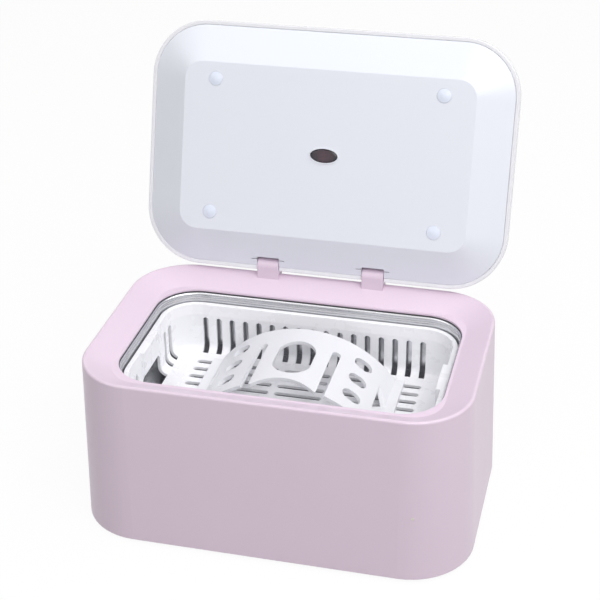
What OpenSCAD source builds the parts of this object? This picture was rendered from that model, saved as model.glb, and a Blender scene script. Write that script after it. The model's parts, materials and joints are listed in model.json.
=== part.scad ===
// Countertop steriliser bath for pacifiers: a moulded body with a dished deck,
// a steel tank with a lift-out basket and holder, and a hinged lid with a lamp window.
// X runs along the front, +Y points to the back, and z = 0 is the surface it stands on.

/* [Body] */
// Width of the body at its top edge
body_w = 200; // [192:1:212]
// Depth of the body at its top edge
body_d = 131.2; // [126:0.2:140]
// Height of the body without its feet
body_h = 92.2; // [88:0.2:104]
// Corner radius at the top edge
body_r = 30.9; // [28:0.1:33]
// How far each side leans out from top to bottom
body_flare = 3; // [1:0.1:4]
// Thickness of the moulded walls
wall_t = 2.5; // [2:0.1:3]
// Rounding of the top edge
edge_r = 1.2; // [0.6:0.1:1.8]
// Height of the rubber feet
foot_h = 2; // [1:0.1:4]
// Diameter of the rubber feet
foot_d = 12; // [9:0.5:14]

/* [Deck] */
// Width of the deck beside the opening
border_x = 15.9; // [15:0.1:17]
// Width of the deck in front of and behind the opening
border_y = 16.6; // [16:0.1:18]
// Corner radius of the opening
open_r = 21.4; // [19:0.1:24]
// How far the deck dips from the top edge to the opening
dish_drop = 7.4; // [5:0.1:8]
// Level land around the opening
land_w = 1.3; // [1:0.1:2]
// Thickness of the deck
deck_t = 2.2; // [1.8:0.1:2.6]
// Thickness of the lip over the tank
lip_t = 1; // [0.8:0.1:1.2]

/* [Tank] */
// Step from the opening to the tank wall
tank_inset = 1.2; // [1:0.1:1.8]
// Depth of the tank
tank_depth = 50; // [44:1:54]
// Thickness of the steel
tank_t = 0.8; // [0.6:0.1:1]
// Rounding between tank wall and floor
tank_fillet = 5; // [4:0.5:10]
// How far the flange reaches under the deck
flange_w = 4; // [3:0.1:4.5]
// Thickness of the silicone seal
seal_t = 0.6; // [0.4:0.1:0.8]

/* [Basket] */
// Gap between basket and tank wall
basket_gap = 0.8; // [0.5:0.1:1.2]
// Depth inside the basket
basket_depth = 28.6; // [26:0.2:30]
// Thickness of the basket wall
basket_t = 1.6; // [1.3:0.1:2]
// How far the rim stands out from the wall
rim_over = 2; // [1.4:0.1:2.4]
// How far the rim lies below the tank flange
rim_drop = 5; // [4.5:0.1:6]
// Pitch of the wall slots
wall_pitch = 7.67; // [7:0.01:7.9]
// Pitch of the floor rows and the side slots
row_pitch = 7.6; // [7:0.05:7.7]
// Width of every slot
slot_w = 3.2; // [2.6:0.1:3.6]
// Height of the plain band above the slots
slot_band = 7.8; // [7.4:0.1:9]
// Length of the finger hole in each end
grip_len = 28; // [22:0.5:30]
// Place of the finger holes along the ends
grip_y = -1; // [-4:0.5:1]

/* [Holder] */
// Outer radius of the arch
arch_r = 58.9; // [56:0.1:62]
// Height of the arch over the basket floor
arch_h = 27.5; // [25:0.1:29]
// Length of the arch from front to back
arch_d = 55.5; // [50:0.5:60]
// Place of the arch from front to back
arch_y = 4.2; // [0:0.1:6]
// Thickness of the arch
arch_t = 2; // [1.6:0.1:2.4]
// Width of the foot flanges
arch_foot = 4; // [3:0.1:5]

/* [Lid] */
// Overhang of the lid at its sides
lid_over_x = 0.7; // [0.2:0.1:1]
// Overhang of the lid at front and back
lid_over_y = 1.4; // [1:0.1:1.6]
// Height of the lid
lid_h = 14; // [13:0.5:18]
// Thickness of the lid's outer shell
lid_t = 2.2; // [1.8:0.1:2.4]
// Rounding of the lid's top edge
lid_round = 8; // [6:0.5:8]
// Gap under the closed lid
lid_gap = 1.4; // [1.3:0.1:1.8]
// Depth of the raised middle of the liner
plateau_h = 9; // [8:0.1:9.2]
// Width of the sloping band around it
plateau_margin = 21.4; // [20:0.1:22.5]
// Thickness of the liner
liner_t = 1.6; // [1.3:0.1:1.8]
// Angle of the open lid
lid_open = 107.5; // [100:0.5:108]
// Distance of the lid screws from the middle, along X
cap_x = 62.1; // [56:0.1:66]
// Distance of the lid screws from the middle, along Y
cap_y = 36.2; // [33:0.1:37]
// Diameter of the screw caps
cap_d = 7.6; // [7:0.1:8.4]
// Length of the lamp window
window_w = 15.2; // [13:0.1:20]
// Height of the lamp window
window_h = 7.6; // [7:0.1:10]

/* [Hinge] */
// Distance of the hinge ears from the middle
ear_x = 29.5; // [26:0.5:36]
// Width of a hinge ear
ear_w = 11.9; // [10:0.1:13]
// Radius of a hinge ear
ear_r = 4; // [3.8:0.1:4.2]
// Diameter of the hinge pins
pin_d = 2.2; // [2:0.1:2.4]
// Running clearance around a hinge pin
pin_gap = 0.05; // [0.03:0.01:0.08]
// Pin distance from the back edge of the lid
pin_in = 2.5; // [2.3:0.1:2.8]
// Pin height over the lid's rim
pin_up = 2.6; // [2.6:0.1:3]

/* [Controls] */
// Diameter of the push buttons
button_d = 11; // [9:0.5:12]
// Distance between the push buttons
button_pitch = 24; // [20:1:28]
// Height of the push buttons over the table
button_z = 46; // [42:1:52]
// Travel of the push buttons
button_travel = 0.8; // [0.4:0.1:0.9]
// Running clearance around a button
button_gap = 0.1; // [0.05:0.01:0.1]
// Distance of the indicator from the right edge
lamp_in = 23.8; // [22:0.1:40]
// Height of the indicator over the table
lamp_z = 38.6; // [30:0.1:50]
// Diameter of the indicator
lamp_d = 1.6; // [1.2:0.1:3]
// Distance of the power inlet from the right edge
inlet_in = 42; // [38:1:50]
// Height of the power inlet over the table
inlet_z = 20; // [19:0.5:24]

/* [Electronics] */
// Diameter of the piezo disc
piezo_d = 50; // [40:1:54]
// Thickness of the piezo disc
piezo_t = 2.6; // [2:0.1:3.5]
// Thickness of the coupling plate
coupling_t = 3; // [2:0.1:4]
// Width of the driver board
board_w = 56; // [54:0.5:58]
// Depth of the driver board
board_d = 74; // [70:1:80]
// Thickness of the circuit boards
board_t = 1.6; // [1.2:0.1:2]
// Distance of the driver board's middle from the right edge
board_in = 36; // [35:0.5:38]
// Height of the board posts
board_post = 7; // [5:0.5:8]

/* [Fasteners] */
// Diameter of the screw shanks
screw_d = 3; // [2.6:0.1:3.2]
// Diameter of the screw heads
head_d = 5.6; // [5:0.1:6]
// Height of the screw heads
head_h = 1.8; // [1.5:0.1:2]
// Clearance of a screw in its bore
screw_gap = 0.05; // [0.03:0.01:0.1]
// Thickness of the base plate
base_t = 2.2; // [2:0.1:3]
// Gap around parts that are laid in place
fit_gap = 0.4; // [0.3:0.05:0.5]

/* [Hidden] */
$fn = 64;
eps = 0.01;
seat_gap = 0.2;
// How far a cut runs past a face, how deep a boss bites into its wall,
// and the length of a cut that passes through any wall
past = 1;
bite = 0.5;
through = 20;

// Levels of the body, from the table up
z_base = foot_h;
z_top = foot_h + body_h;
z_land = z_top - dish_drop;
z_lip = z_land - lip_t;
z_flange = z_lip - seal_t;
z_tank = z_flange - tank_depth;
z_rim = z_flange - rim_drop;
z_floor = z_rim - basket_depth;
floor_t = basket_t;
z_plate = z_base + base_t;

// Outlines
open_w = body_w - 2 * border_x;
open_d = body_d - 2 * border_y;
tank_w = open_w - 2 * tank_inset;
tank_d = open_d - 2 * tank_inset;
tank_r = open_r - tank_inset;
basket_in = basket_gap + rim_over;
basket_w = tank_w - 2 * basket_in;
basket_d = tank_d - 2 * basket_in;
basket_r = tank_r - basket_in;
lid_w = body_w + 2 * lid_over_x;
lid_d = body_d + 2 * lid_over_y;
slope_w = min(border_x, border_y) - land_w;
slope = dish_drop / slope_w;
deck_lap = 5.1;
deck_reach = border_x + deck_lap;

// Lid and hinge, with the lid drawn closed and turned about the pin
z_lid = z_top + lid_gap;
liner_gap = 0.06;
liner_in = lid_t + liner_gap;
pin_y = lid_d / 2 - pin_in;
pin_z = z_lid + pin_up;
notch_side = 0.3;
notch_w = ear_w + 2 * notch_side;
notch_in = pin_in + ear_r + past;
notch_h = pin_up + (ear_r + notch_side + pin_in * abs(cos(lid_open))) / sin(lid_open);
cheek_t = 3;
pin_grip = 0.02;
cheek_wall = 0.75;
cheek_low = pin_up - pin_d / 2 - cheek_wall;
relief_z = cheek_low - liner_gap;
screw_y_shift = -0.5;
cup_h = 6.2;
z_plateau = z_lid - plateau_h;

// The frame's origin is under the middle of the part's own box, open lid included
lid_tip_y = lid_round - lid_d / 2 - pin_y;
lid_tip_z = lid_h - lid_round - pin_up;
y_back = pin_y + lid_tip_y * cos(lid_open) + lid_tip_z * sin(lid_open) + lid_round;
y_front = -body_d / 2 - body_flare;
frame_shift = -(y_back + y_front) / 2;

// Wall positions at a height: half widths of the outer and inner body faces
function lean(z) = body_flare * (z_top - z) / body_h;
function outer_x(z) = body_w / 2 + lean(z);
function outer_y(z) = body_d / 2 + lean(z);
function front_y(x, z) =
  let (across = max(0, abs(x) - body_w / 2 + body_r), r = body_r + lean(z))
  body_d / 2 - body_r + sqrt(r * r - across * across);
function inner_x(z) = outer_x(z) - wall_t;

// Width of the bore for a shank
function bore(d) = d + 2 * screw_gap;

// Underside of the deck at a distance in from the top edge
function deck_under(u) = z_top - min(u, slope_w) * slope - deck_t;

// A profile's corners rounded: each point is [x, y, radius]
function unit(v) = v / norm(v);
function wrap(a) = a > 180 ? a - 360 : a < -180 ? a + 360 : a;
function corner(a, b, c, r, n) =
  let (
    p = [b[0], b[1]],
    d1 = unit([a[0], a[1]] - p),
    d2 = unit([c[0], c[1]] - p),
    half = acos(d1 * d2) / 2,
    mid = p + unit(d1 + d2) * r / sin(half),
    s1 = p + d1 * r / tan(half) - mid,
    s2 = p + d2 * r / tan(half) - mid,
    a1 = atan2(s1[1], s1[0]),
    turn = wrap(atan2(s2[1], s2[0]) - a1)
  )
  [for (k = [0:n]) mid + r * [cos(a1 + turn * k / n), sin(a1 + turn * k / n)]];
function rounded(pts, n = 6) =
  let (last = len(pts) - 1)
  [for (i = [0:last])
    let (b = pts[i], a = pts[i == 0 ? last : i - 1], c = pts[i == last ? 0 : i + 1])
    each b[2] > 0 ? corner(a, b, c, b[2], n) : [[b[0], b[1]]]];

// Moves a piece from the middle of the body to the frame's origin
module in_frame() translate([0, frame_shift, 0]) children();

// Turns what is drawn on the closed lid to the open lid
module open_lid()
  translate([0, pin_y, pin_z]) rotate([-lid_open, 0, 0]) translate([0, -pin_y, -pin_z]) children();

// A flat outline with rounded corners
module outline(w, d, r) {
  square([w - 2 * r, d], center = true);
  square([w, d - 2 * r], center = true);
  for (sx = [-1, 1], sy = [-1, 1])
    translate([sx * (w / 2 - r), sy * (d / 2 - r)]) circle(r);
}

// A slab with rounded corners
module slab(w, d, r, z, h) translate([0, 0, z]) linear_extrude(h) outline(w, d, r);

// A profile carried around a rounded rectangle: x is outward, y is up
module ring(w, d, r) {
  for (s = [0, 180]) {
    rotate([0, 0, s]) translate([w / 2, 0, 0]) rotate([90, 0, 0])
      linear_extrude(d - 2 * r, center = true) children();
    rotate([0, 0, s + 90]) translate([d / 2, 0, 0]) rotate([90, 0, 0])
      linear_extrude(w - 2 * r, center = true) children();
  }
  for (k = [0:3]) {
    sx = k == 0 || k == 3 ? 1 : -1;
    sy = k < 2 ? 1 : -1;
    translate([sx * (w / 2 - r), sy * (d / 2 - r), 0]) rotate([0, 0, 90 * k])
      rotate_extrude(angle = 90) translate([r, 0]) children();
  }
}

// Copies to the four corners
module four(x, y) for (sx = [-1, 1], sy = [-1, 1]) translate([sx * x, sy * y, 0]) children();

// An upright cylinder between two levels
module post(d, z1, z2) translate([0, 0, z1]) cylinder(d = d, h = z2 - z1);

// A box between two corners
module block(a, b) translate(a) cube(b - a);

// A bar along X, centred on x = 0
module rod(d, w) rotate([0, 90, 0]) cylinder(d = d, h = w, center = true);

// A pan-head screw that points up, with the underside of its head at z = 0
module screw(length) {
  post(head_d, -head_h, 0);
  post(screw_d, -eps, length);
}

// Body shell
post_in = [14.8, 15.2];
corner_x = body_w / 2 - post_in[0];
corner_y = body_d / 2 - post_in[1];
post_d = 7;
post_edge = body_r - norm([body_r - post_in[0], body_r - post_in[1]]) + post_d / 4;
pad_h = 2;
base_screw = 12;
clamp_t = 1.4;
clamp_w = 10;
clamp_out = 4.3;
clamp_boss = 6;
clamp_cut = 1;
clamp_tail = 3.4;
pocket_w = flange_w + bite;
pocket_h = 12;
z_clamp = z_flange - tank_t;
clamp_x = open_w / 2 + flange_w + clamp_out;
clamp_y = open_d / 2 + flange_w + clamp_out;
clamp_inner = 4;
clamp_side = body_w / 4 - clamp_inner;
clamp_edge = max(border_x, border_y) - flange_w - clamp_out;
clamp_extra = 0.7;
clamp_hole = deck_under(clamp_edge) - z_clamp + clamp_extra;
clamp_places = [
  [clamp_x, 0, 0], [-clamp_x, 0, 180],
  [clamp_side, clamp_y, 90], [-clamp_side, clamp_y, 90],
  [clamp_side, -clamp_y, 270], [-clamp_side, -clamp_y, 270]
];
housing_profile = rounded([
  [body_flare, z_base, 0],
  [0, z_top, edge_r],
  [-slope_w, z_land, 2],
  [-deck_reach, z_land, 0],
  [-deck_reach, z_land - deck_t, 0],
  [-slope_w, z_land - deck_t, 0],
  [-wall_t, z_top - wall_t * slope - deck_t, 0],
  [body_flare - wall_t, z_base, 0]
], 4);

button_flange = 1.2;
button_proud = 0.8;
collar_in = 3.4;
collar_wall = 2.5;
button_rest = 0.1;
x_collar = inner_x(button_z) - collar_in;
button_places = [-button_pitch / 2, button_pitch / 2];
switch_h = 4;
switch_w = 6;
switch_body = 3;
switch_stem = 3.4;
switch_gap = button_travel + button_rest;
x_switch = x_collar - button_rest - button_flange - switch_gap;
x_control = x_switch - switch_h;
control_side = [6.5, 5];
control_boss = button_pitch / 2 + button_d / 2 + control_side[0];
control_w = 2 * (control_boss + control_side[1]);
control_h = 16;
control_post = 6;
control_screw = 7;
control_head = [4.4, 1.4];
board_r = 2;
lamp_collar = 3.4;
lamp_wall = 2.7;
lamp_foot = [4, 1.5];
lamp_led = [3, 2];
lamp_board = [14, 10];
lamp_x = body_w / 2 - lamp_in;
y_lamp = front_y(lamp_x, lamp_z) - wall_t - lamp_collar;
inlet_x = body_w / 2 - inlet_in;
inlet_w = 21;
inlet_h = 14;
inlet_deep = 17;
inlet_flange = 2;
inlet_r = 3;
inlet_rim = 2.7;
inlet_mouth = [16, 8.6];
inlet_pin = 2.4;
inlet_pitch = 8.6;
inlet_floor = 2.5;
pin_back = 4;
peg_d = 2.4;

// How far below the top edge the ear meets the wall: inside, outside, and its straight back
ear_root = [26, 22, 15];

module ear() {
  translate([0, pin_y, pin_z]) rod(2 * ear_r, ear_w);
  ear_low = deck_under(body_d / 2 - pin_y + ear_r);
  rotate([90, 0, 90]) linear_extrude(ear_w, center = true) polygon([
    [pin_y - ear_r, pin_z],
    [pin_y - ear_r, ear_low],
    [pin_y, deck_under(wall_t)],
    [body_d / 2 - wall_t / 2, z_top - ear_root[0]],
    [body_d / 2 + lean(z_top - ear_root[1]) - seat_gap, z_top - ear_root[1]],
    [pin_y + ear_r, z_top - ear_root[2]],
    [pin_y + ear_r, pin_z]
  ]);
}

module housing() in_frame() color("#dcc6dc") difference() {
  union() {
    ring(body_w, body_d, body_r) polygon(housing_profile);
    four(corner_x, corner_y) post(post_d, z_plate + pad_h, deck_under(post_edge) + bite);
    for (p = clamp_places)
      translate([p[0], p[1], 0]) post(clamp_boss, z_clamp, deck_under(clamp_edge) + bite);
    for (s = [-1, 1]) translate([s * ear_x, 0, 0]) ear();
    for (y = button_places)
      translate([-x_collar, y, button_z]) rotate([0, -90, 0])
        cylinder(d = button_d + 2 * collar_wall, h = collar_in + wall_t / 2);
    for (s = [-1, 1])
      translate([-x_control, s * control_boss, button_z]) rotate([0, -90, 0])
        cylinder(d = control_post, h = inner_x(button_z) - x_control + wall_t / 2);
    translate([lamp_x, -y_lamp, lamp_z]) rotate([90, 0, 0])
      cylinder(d = lamp_d + 2 * lamp_wall, h = lamp_collar + wall_t / 2);
    translate([0, -y_sensor, 0]) for (s = [-1, 1])
      translate([s * sensor_peg, 0, 0]) post(sensor_boss, z_sensor, deck_under(sensor_in) + bite);
  }
  slab(open_w, open_d, open_r, z_base, body_h);
  slab(open_w + 2 * pocket_w, open_d + 2 * pocket_w, open_r + pocket_w, z_lip - pocket_h, pocket_h);
  four(corner_x, corner_y) post(bore(screw_d), z_base, z_base + head_h + fit_gap + base_screw + past);
  for (p = clamp_places)
    translate([p[0], p[1], 0]) post(bore(screw_d), z_clamp - past, z_clamp + clamp_hole);
  for (s = [-1, 1])
    translate([s * ear_x, pin_y, pin_z]) rod(pin_d + 2 * pin_gap, ear_w + 2 * past);
  for (y = button_places)
    translate([-x_collar + past, y, button_z]) rotate([0, -90, 0])
      cylinder(d = button_d + 2 * button_gap, h = through);
  for (s = [-1, 1])
    translate([-x_control + past, s * control_boss, button_z]) rotate([0, -90, 0])
      cylinder(d = bore(peg_d), h = control_screw + 2 * past);
  translate([lamp_x, -y_lamp + past, lamp_z]) rotate([90, 0, 0])
    cylinder(d = bore(lamp_d), h = through);
  translate([inlet_x, body_d / 2, inlet_z]) rotate([90, 0, 0])
    linear_extrude(through, center = true)
      outline(inlet_w + fit_gap, inlet_h + fit_gap, inlet_r + fit_gap / 2);
}

// The closing plate, with pads for its screws and posts for the driver board
base_gap = fit_gap;
base_w = body_w + 2 * body_flare - 2 * wall_t - 2 * base_gap;
base_d = body_d + 2 * body_flare - 2 * wall_t - 2 * base_gap;
base_r = body_r + body_flare - wall_t - base_gap;
foot_in = [32, 15.6];
foot_x = body_w / 2 - foot_in[0];
foot_y = body_d / 2 - foot_in[1];
stem_d = 4;
pad_d = 10;
board_boss = 6.5;
board_x = body_w / 2 - board_in;
hole_in = 4;
hole_x = board_w / 2 - hole_in;
hole_y = board_d / 2 - hole_in;
vent_w = 2.5;
vent_l = 34;
vent_x = body_w / 4 - vent_w;
vent_n = 5;
z_board = z_plate + board_post;
board_screw = 8;

module base_plate() in_frame() color("#d2bdd3") difference() {
  union() {
    slab(base_w, base_d, base_r, z_base, base_t);
    four(corner_x, corner_y) post(pad_d, z_plate - eps, z_plate + pad_h);
    translate([board_x, 0, 0]) four(hole_x, hole_y) post(board_boss, z_plate - eps, z_board);
  }
  four(corner_x, corner_y) post(screw_d + 2 * fit_gap, z_base - past, z_board);
  four(corner_x, corner_y) post(head_d + 2 * fit_gap, z_base - past, z_base + head_h + fit_gap);
  four(foot_x, foot_y) post(bore(stem_d), z_base - past, z_plate + past);
  translate([board_x, 0, 0]) four(hole_x, hole_y)
    post(bore(screw_d), z_board - board_screw + board_t, z_board + past);
  for (k = [-vent_n:vent_n])
    translate([-vent_x + k * 2 * vent_w, 0, z_base - past]) linear_extrude(base_t + 2 * past)
      outline(vent_w, vent_l, vent_w / 2 - eps);
}

module rubber_feet() in_frame() color("#8f8a90") four(foot_x, foot_y) {
  post(foot_d, 0, z_base);
  post(stem_d, z_base - eps, z_plate);
}

module base_screws() in_frame() color("silver")
  four(corner_x, corner_y) translate([0, 0, z_base + head_h + fit_gap]) screw(base_screw);

// The tank hangs by its flange from the deck
tank_core = 4;
tank_bend = 1.2;
tank_profile = rounded([
  [0, z_flange, tank_bend],
  [tank_inset + flange_w, z_flange, 0],
  [tank_inset + flange_w, z_flange - tank_t, 0],
  [tank_t, z_flange - tank_t, tank_bend - tank_t + eps],
  [tank_t, z_tank - tank_t, tank_fillet + tank_t],
  [-tank_r + tank_core, z_tank - tank_t, 0],
  [-tank_r + tank_core, z_tank, 0],
  [0, z_tank, tank_fillet]
], 6);

module tank() in_frame() color("#c9ccd0") {
  ring(tank_w, tank_d, tank_r) polygon(tank_profile);
  core = 2 * (tank_core + past - tank_r);
  slab(tank_w + core, tank_d + core, tank_core + past, z_tank - tank_t, tank_t);
}

seal_in = 0.1;
module tank_seal() in_frame() color("#5d5a60")
  ring(open_w, open_d, open_r)
    translate([seal_in, z_flange]) square([flange_w - seal_in, seal_t]);

module tank_clamps() in_frame() color("silver") for (p = clamp_places)
  translate([p[0], p[1], 0]) rotate([0, 0, p[2]]) difference() {
    block([clamp_cut - clamp_out - flange_w, -clamp_w / 2, z_clamp - clamp_t],
      [clamp_tail, clamp_w / 2, z_clamp]);
    post(bore(screw_d), z_clamp - clamp_t - past, z_clamp + past);
  }

module clamp_screws() in_frame() color("silver") for (p = clamp_places)
  translate([p[0], p[1], z_clamp - clamp_t]) screw(clamp_t + clamp_hole - fit_gap);

// The transducer is bonded under the tank floor
z_bond = z_tank - tank_t;
coupling_rim = 2;
module coupling_plate() in_frame() color("#b9bcc2")
  post(piezo_d + 2 * coupling_rim, z_bond - coupling_t, z_bond);

module piezo_disc() in_frame() color("#d9d4c0")
  post(piezo_d, z_bond - coupling_t - piezo_t, z_bond - coupling_t);

// The driver board and what stands on it
z_parts = z_board + board_t;
tall = z_bond - coupling_t - z_parts;
part_most = 16;
part_h = min(part_most, tall - past);
trafo_y = -12;
trafo_w = 22;
trafo_d = 16;
trafo_base = 3;
trafo_core = 6;
trafo_step = [3, 2];
sink_in = 10;
sink_x = board_w / 2 - sink_in;
sink_y = 8;
sink_l = 30;
sink_t = 2;
fin_n = 3;
fin_pitch = 4.6;
fin_t = 1.4;
fin_l = 7;
device = [4.6, 10, 3];
device_y = [-8, 8];
can_y = 16;
cans = [[-14, 14, 0], [2, 10, 2]];
film_cap = [2, 28];
film_size = [16, 6, 10];

module driver_board() in_frame() color("#3f7a55") difference() {
  translate([board_x, 0, z_board]) linear_extrude(board_t) outline(board_w, board_d, board_r);
  translate([board_x, 0, 0]) four(hole_x, hole_y)
    post(bore(screw_d), z_board - past, z_parts + past);
}

module board_screws() in_frame() color("silver") translate([board_x, 0, 0])
  four(hole_x, hole_y) translate([0, 0, z_parts]) mirror([0, 0, 1]) screw(board_screw);

module transformer() in_frame() color("#c9a24a") translate([board_x, trafo_y, z_parts]) {
  coil = [trafo_w / 2 - trafo_step[0], trafo_d / 2 - bite];
  foot = trafo_w / 2 - trafo_step[1];
  block([-foot, -trafo_d / 2, 0], [foot, trafo_d / 2, trafo_base]);
  block([-trafo_w / 2, -trafo_core / 2, trafo_base], [trafo_w / 2, trafo_core / 2, part_h]);
  difference() {
    block([-coil[0], -coil[1], trafo_base], [coil[0], coil[1], part_h - trafo_step[1]]);
    block([-trafo_w / 2, -trafo_core / 2, trafo_base - past], [trafo_w / 2, trafo_core / 2, part_h]);
  }
}

module heat_sink() in_frame() color("#a7abb0") translate([board_x + sink_x, sink_y, z_parts]) {
  block([0, -sink_l / 2, 0], [sink_t, sink_l / 2, part_h]);
  for (k = [-fin_n:fin_n])
    block([sink_t - eps, k * fin_pitch - fin_t / 2, 0], [fin_l, k * fin_pitch + fin_t / 2, part_h]);
}

module power_transistors() in_frame() color("#2b2b2e")
  for (y = device_y) translate([board_x + sink_x, sink_y + y, z_parts])
    block([-device[0], -device[1] / 2, device[2]], [0, device[1] / 2, part_h - past]);

module capacitors() in_frame() color("#3a3f55") {
  for (c = cans) translate([board_x + c[0], can_y, 0]) post(c[1], z_parts, z_parts + part_h - c[2]);
  translate([board_x + film_cap[0], film_cap[1], z_parts])
    block([-film_size[0] / 2, -film_size[1] / 2, 0], [film_size[0] / 2, film_size[1] / 2, film_size[2]]);
}

// A two-pin power inlet in the back wall
y_inlet = outer_y(inlet_z) + inlet_flange;
module power_inlet() in_frame() color("#2a2a2c") difference() {
  union() {
    translate([inlet_x, y_inlet, inlet_z]) rotate([90, 0, 0])
      linear_extrude(inlet_flange - lean(inlet_z - inlet_h) + lean(inlet_z))
        outline(inlet_w + 2 * inlet_rim, inlet_h + 2 * inlet_rim, inlet_r + past);
    translate([inlet_x, y_inlet - bite, inlet_z]) rotate([90, 0, 0])
      linear_extrude(inlet_deep) outline(inlet_w, inlet_h, inlet_r);
  }
  translate([inlet_x, y_inlet + past, inlet_z]) rotate([90, 0, 0])
    linear_extrude(inlet_deep - inlet_floor + past)
      outline(inlet_mouth[0], inlet_mouth[1], inlet_mouth[1] / 2 - eps);
  for (s = [-1, 1]) translate([inlet_x + s * inlet_pitch / 2, y_inlet, inlet_z]) rotate([90, 0, 0])
    cylinder(d = bore(inlet_pin), h = inlet_deep + 2 * past);
}

module inlet_pins() in_frame() color("#c8b16a")
  for (s = [-1, 1]) translate([inlet_x + s * inlet_pitch / 2, y_inlet - pin_back, inlet_z])
    rotate([90, 0, 0]) cylinder(d = inlet_pin, h = inlet_deep);

// Push buttons in the left wall, each in a collar, with a switch behind
module button(y) translate([-x_collar, y, button_z]) rotate([0, -90, 0]) {
  translate([0, 0, -button_rest - button_flange])
    cylinder(d = button_d + 2 * button_flange, h = button_flange);
  translate([0, 0, -button_rest - eps])
    cylinder(d = button_d, h = outer_x(button_z) + button_proud - x_collar + button_rest);
}

module power_button() in_frame() color("#f0e6ef") button(button_places[0]);

module mode_button() in_frame() color("#f0e6ef") button(button_places[1]);

module control_board() in_frame() color("#3f7a55") difference() {
  translate([-x_control, 0, button_z]) rotate([0, 90, 0])
    linear_extrude(board_t) outline(control_h, control_w, board_r);
  for (s = [-1, 1]) translate([-x_control - past, s * control_boss, button_z])
    rotate([0, 90, 0]) cylinder(d = bore(peg_d), h = board_t + 2 * past);
}

module button_switches() in_frame() color("#3a3a3d") for (y = button_places)
  translate([-x_control, y, button_z]) rotate([0, -90, 0]) {
    block([-switch_w / 2, -switch_w / 2, 0], [switch_w / 2, switch_w / 2, switch_body]);
    post(switch_stem, switch_body - eps, switch_h);
  }

module control_screws() in_frame() color("silver") for (s = [-1, 1])
  translate([-x_control + board_t, s * control_boss, button_z]) rotate([0, -90, 0]) {
    post(control_head[0], -control_head[1], 0);
    post(peg_d, -eps, board_t + control_screw);
  }

// A light pipe in the front wall and the lamp behind it
module indicator_lens() in_frame() color("#f4f0e2") translate([lamp_x, -y_lamp, lamp_z]) {
  rotate([90, 0, 0]) cylinder(d = lamp_d, h = wall_t + lamp_collar);
  rotate([-90, 0, 0]) cylinder(d = lamp_foot[0], h = lamp_foot[1]);
}

module indicator_board() in_frame() color("#3f7a55") translate([lamp_x, lamp_foot[1] - y_lamp, lamp_z]) {
  rotate([-90, 0, 0]) cylinder(d = lamp_led[0], h = lamp_led[1] + eps);
  block([-lamp_board[0] / 2, lamp_led[1], -lamp_board[1] / 2],
    [lamp_board[0] / 2, lamp_led[1] + board_t, lamp_board[1] / 2]);
}

// Basket: a tub with slotted walls and floor, four legs and a finger hole in each end
tub_fillet = 4.5;
leg_d = 7;
z_slot = z_rim - slot_band;
wall_cut = 5.4;
wall_slots = 2 * floor((basket_w / 2 - basket_r + bite) / wall_pitch) + 1;
row_edge = 11;
floor_rows = floor((basket_d / 2 - row_edge) / row_pitch);
leg_in = 12;
leg_x = basket_w / 2 - leg_in;
leg_y = (floor_rows - 1 / 2) * row_pitch;
rim_w = 2.6;
rim_r = 0.5;
rim_t = 2;
tub_core = 5;
tub_reach = basket_r - tub_core;
rim_lean = 6;
grip_drop = 15.3;
grip_t = 2.9;
grip_in = 0.4;
grip_edge = 2;
grip_lip = 2;
grip_r = 4;
basket_profile = rounded([
  [rim_over, z_rim, rim_r],
  [rim_over - rim_w, z_rim, rim_r],
  [-basket_t, z_rim - rim_lean, 0],
  [-basket_t, z_floor, tub_fillet],
  [-tub_reach, z_floor, 0],
  [-tub_reach, z_floor - floor_t, 0],
  [0, z_floor - floor_t, tub_fillet + basket_t],
  [0, z_rim - rim_t - rim_over, 0],
  [rim_over, z_rim - rim_t, 0]
], 5);

// A ledge under a fingertip, over each finger hole: it widens the rim inward
grip_profile = [
  [rim_over - rim_w + rim_r, z_rim],
  [-grip_t, z_rim],
  [-grip_t, z_rim - grip_drop + grip_lip],
  [-grip_in, z_rim - grip_drop + grip_lip],
  [-grip_in, z_rim - rim_t - rim_over]
];

// An upright slot through an end or side wall, running on round the floor's edge
module wall_slot(reach) {
  block([reach - wall_cut, -slot_w / 2, z_floor - floor_t - past],
    [reach + past, slot_w / 2, z_slot - slot_w / 2]);
  translate([reach - wall_cut, 0, z_slot - slot_w / 2]) rotate([0, 90, 0])
    cylinder(d = slot_w, h = wall_cut + past);
}

// Rows of slots in the floor: a middle column, and a long and a short one on each side
mid_slot = 26;
short_slot = 10;
slot_bridge = 3.3;
slot_in = 17.1;
slot_end = basket_w / 2 - slot_in;
long_from = mid_slot / 2 + slot_bridge;
long_to = slot_end - short_slot - slot_bridge;
floor_columns = [
  [0, mid_slot],
  [(long_from + long_to) / 2, long_to - long_from],
  [-(long_from + long_to) / 2, long_to - long_from],
  [slot_end - short_slot / 2, short_slot],
  [short_slot / 2 - slot_end, short_slot]
];

module floor_slots() for (k = [-floor_rows:floor_rows], c = floor_columns)
  translate([c[0], k * row_pitch, z_floor - floor_t - past])
    linear_extrude(floor_t + 2 * past) outline(c[1], slot_w, slot_w / 2 - eps);

module grip_hole() {
  block([basket_w / 2 - wall_cut, grip_y - grip_len / 2, z_floor - floor_t - past],
    [basket_w / 2 + past, grip_y + grip_len / 2, z_rim - grip_drop - grip_r]);
  translate([basket_w / 2 - wall_cut, grip_y, z_rim - grip_drop - grip_r]) rotate([90, 0, 90])
    linear_extrude(wall_cut + past) outline(grip_len, 2 * grip_r, grip_r - eps);
}

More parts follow.
